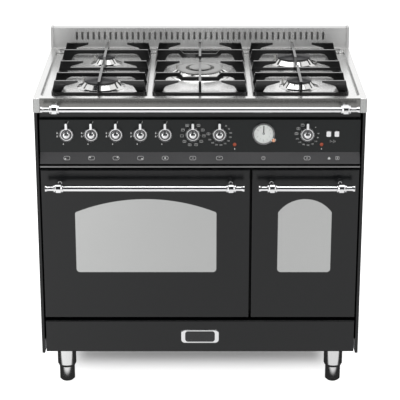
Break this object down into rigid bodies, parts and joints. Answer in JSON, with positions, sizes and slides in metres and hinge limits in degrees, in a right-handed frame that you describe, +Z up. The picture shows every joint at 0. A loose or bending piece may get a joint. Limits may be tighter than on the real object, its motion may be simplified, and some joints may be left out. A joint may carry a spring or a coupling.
{
  "type": "dual fuel range cooker",
  "caption": "Free-standing dual fuel range cooker with a gas hob under cast pan supports, a wide and a narrow drop-door oven, a storage flap, a front rail and round legs.",
  "frame": {"origin": "on the floor, under the middle of the overall box", "axes": "+Z up, -Y out of the doors towards the cook, +X to the cook's right"},
  "size_m": [0.9, 0.662, 0.9125],
  "materials": {
    "charcoal_enamel": "satin",
    "stainless_steel": "brushed",
    "zinc_plated_steel": "satin",
    "polished_chrome": "polished",
    "black_cast_iron": "matt",
    "burner_aluminium": "polished",
    "grey_enamel": "matt",
    "oven_enamel": "gloss",
    "window_glass": "mirror coated",
    "clear_glass": "clear",
    "seal_rubber": "matt",
    "brass": "satin",
    "copper_brass": "polished",
    "black_plastic": "matt",
    "white_dial": "matt",
    "white_ceramic": "matt",
    "amber_lens": "gloss"
  },
  "bodies": {
    "cooker_body": {"side_panels": "charcoal_enamel", "rear_panel": "zinc_plated_steel", "base_pan": "zinc_plated_steel", "front_frame": "oven_enamel", "control_panel": "charcoal_enamel", "trim_strip": "stainless_steel", "hob_top": "stainless_steel", "backguard": "stainless_steel", "hob_rail": "polished_chrome", "hob_rail_brackets": "polished_chrome", "main_oven_cavity": "oven_enamel", "small_oven_cavity": "oven_enamel", "oven_door_seals": "seal_rubber", "oven_shelves": "polished_chrome", "grill_elements": "zinc_plated_steel", "fan_cover": "oven_enamel", "gas_manifold": "zinc_plated_steel", "gas_taps": "brass", "burner_crowns": "burner_aluminium", "burner_caps": "grey_enamel", "burner_igniters": "white_ceramic", "oven_switches": "black_plastic", "clock_case": "polished_chrome", "clock_dial": "white_dial", "clock_glass": "clear_glass", "indicator_lamps": "amber_lens", "leg_sleeves": "stainless_steel", "levelling_feet": "stainless_steel"},
    "main_door": {"main_door_front": "charcoal_enamel", "main_door_window": "window_glass", "main_door_liner": "oven_enamel", "main_door_inner_glass": "clear_glass", "main_door_handle": "polished_chrome", "main_door_handle_brackets": "polished_chrome", "main_door_hinges": "zinc_plated_steel"},
    "small_door": {"small_door_front": "charcoal_enamel", "small_door_window": "window_glass", "small_door_liner": "oven_enamel", "small_door_inner_glass": "clear_glass", "small_door_handle": "polished_chrome", "small_door_handle_brackets": "polished_chrome", "small_door_hinges": "zinc_plated_steel"},
    "storage_flap": {"storage_flap": "charcoal_enamel"},
    "button_timer": {"button_timer": "polished_chrome"},
    "button_light": {"button_light": "polished_chrome"},
    "clock_minute_hand": {"clock_minute_hand": "black_plastic"},
    "clock_hour_hand": {"clock_hour_hand": "black_plastic"},
    "clock_crown": {"clock_crown": "copper_brass"},
    "oven_fan": {"oven_fan": "zinc_plated_steel"},
    "pan_support_left": {"pan_support_left": "black_cast_iron"},
    "pan_support_middle": {"pan_support_middle": "black_cast_iron"},
    "pan_support_right": {"pan_support_right": "black_cast_iron"},
    "knob_front_left_burner": {"knob_front_left_burner": "polished_chrome"},
    "knob_rear_left_burner": {"knob_rear_left_burner": "polished_chrome"},
    "knob_rear_right_burner": {"knob_rear_right_burner": "polished_chrome"},
    "knob_front_right_burner": {"knob_front_right_burner": "polished_chrome"},
    "knob_wok_burner": {"knob_wok_burner": "polished_chrome"},
    "knob_oven_function": {"knob_oven_function": "polished_chrome"},
    "knob_main_oven_heat": {"knob_main_oven_heat": "polished_chrome"},
    "knob_small_oven_heat": {"knob_small_oven_heat": "polished_chrome"}
  },
  "joints": [
    {"name": "main_door_hinge", "type": "hinge", "parent": "cooker_body", "child": "main_door", "pos_m": [0, -0.257, 0.215], "axis": [1, 0, 0], "range_deg": [0, 90], "stiffness_Nm_per_rad": 5, "springref_deg": -14.32},
    {"name": "small_door_hinge", "type": "hinge", "parent": "cooker_body", "child": "small_door", "pos_m": [0, -0.257, 0.215], "axis": [1, 0, 0], "range_deg": [0, 90], "stiffness_Nm_per_rad": 2.5, "springref_deg": -14.32},
    {"name": "storage_flap_hinge", "type": "hinge", "parent": "cooker_body", "child": "storage_flap", "pos_m": [0, -0.259, 0.112], "axis": [1, 0, 0], "range_deg": [0, 90]},
    {"name": "knob_front_left_burner_turn", "type": "hinge", "parent": "cooker_body", "child": "knob_front_left_burner", "pos_m": [-0.363, -0.253, 0.744], "axis": [0, -1, 0], "range_deg": [0, 210]},
    {"name": "knob_rear_left_burner_turn", "type": "hinge", "parent": "cooker_body", "child": "knob_rear_left_burner", "pos_m": [-0.296, -0.253, 0.744], "axis": [0, -1, 0], "range_deg": [0, 210]},
    {"name": "knob_rear_right_burner_turn", "type": "hinge", "parent": "cooker_body", "child": "knob_rear_right_burner", "pos_m": [-0.229, -0.253, 0.744], "axis": [0, -1, 0], "range_deg": [0, 210]},
    {"name": "knob_front_right_burner_turn", "type": "hinge", "parent": "cooker_body", "child": "knob_front_right_burner", "pos_m": [-0.162, -0.253, 0.744], "axis": [0, -1, 0], "range_deg": [0, 210]},
    {"name": "knob_wok_burner_turn", "type": "hinge", "parent": "cooker_body", "child": "knob_wok_burner", "pos_m": [-0.095, -0.253, 0.744], "axis": [0, -1, 0], "range_deg": [0, 210]},
    {"name": "knob_oven_function_turn", "type": "hinge", "parent": "cooker_body", "child": "knob_oven_function", "pos_m": [-0.0195, -0.253, 0.744], "axis": [0, 1, 0], "continuous": true},
    {"name": "knob_main_oven_heat_turn", "type": "hinge", "parent": "cooker_body", "child": "knob_main_oven_heat", "pos_m": [0.053, -0.253, 0.744], "axis": [0, 1, 0], "range_deg": [0, 270]},
    {"name": "knob_small_oven_heat_turn", "type": "hinge", "parent": "cooker_body", "child": "knob_small_oven_heat", "pos_m": [0.292, -0.253, 0.744], "axis": [0, 1, 0], "range_deg": [0, 270]},
    {"name": "button_timer_press", "type": "slide", "parent": "cooker_body", "child": "button_timer", "axis": [0, 1, 0], "range_m": [0, 0.003], "stiffness_N_per_m": 400, "springref_m": -0.001},
    {"name": "button_light_press", "type": "slide", "parent": "cooker_body", "child": "button_light", "axis": [0, 1, 0], "range_m": [0, 0.003], "stiffness_N_per_m": 400, "springref_m": -0.001},
    {"name": "clock_minute_turn", "type": "hinge", "parent": "cooker_body", "child": "clock_minute_hand", "pos_m": [0.173, -0.253, 0.747], "axis": [0, 1, 0], "continuous": true},
    {"name": "clock_hour_turn", "type": "hinge", "parent": "cooker_body", "child": "clock_hour_hand", "pos_m": [0.173, -0.253, 0.747], "axis": [0, 1, 0], "continuous": true},
    {"name": "clock_crown_turn", "type": "hinge", "parent": "cooker_body", "child": "clock_crown", "pos_m": [0.2, -0.253, 0.729], "axis": [0, 1, 0], "continuous": true},
    {"name": "oven_fan_spin", "type": "hinge", "parent": "cooker_body", "child": "oven_fan", "pos_m": [-0.1495, 0.2, 0.42], "axis": [0, 1, 0], "continuous": true},
    {"name": "pan_support_left_lift", "type": "slide", "parent": "cooker_body", "child": "pan_support_left", "axis": [0, 0, 1], "range_m": [0, 0.06]},
    {"name": "pan_support_middle_lift", "type": "slide", "parent": "cooker_body", "child": "pan_support_middle", "axis": [0, 0, 1], "range_m": [0, 0.06]},
    {"name": "pan_support_right_lift", "type": "slide", "parent": "cooker_body", "child": "pan_support_right", "axis": [0, 0, 1], "range_m": [0, 0.06]}
  ],
  "couplings": [
    {"joint": "clock_hour_turn", "follows": "clock_minute_turn", "ratio": 0.083333}
  ]
}
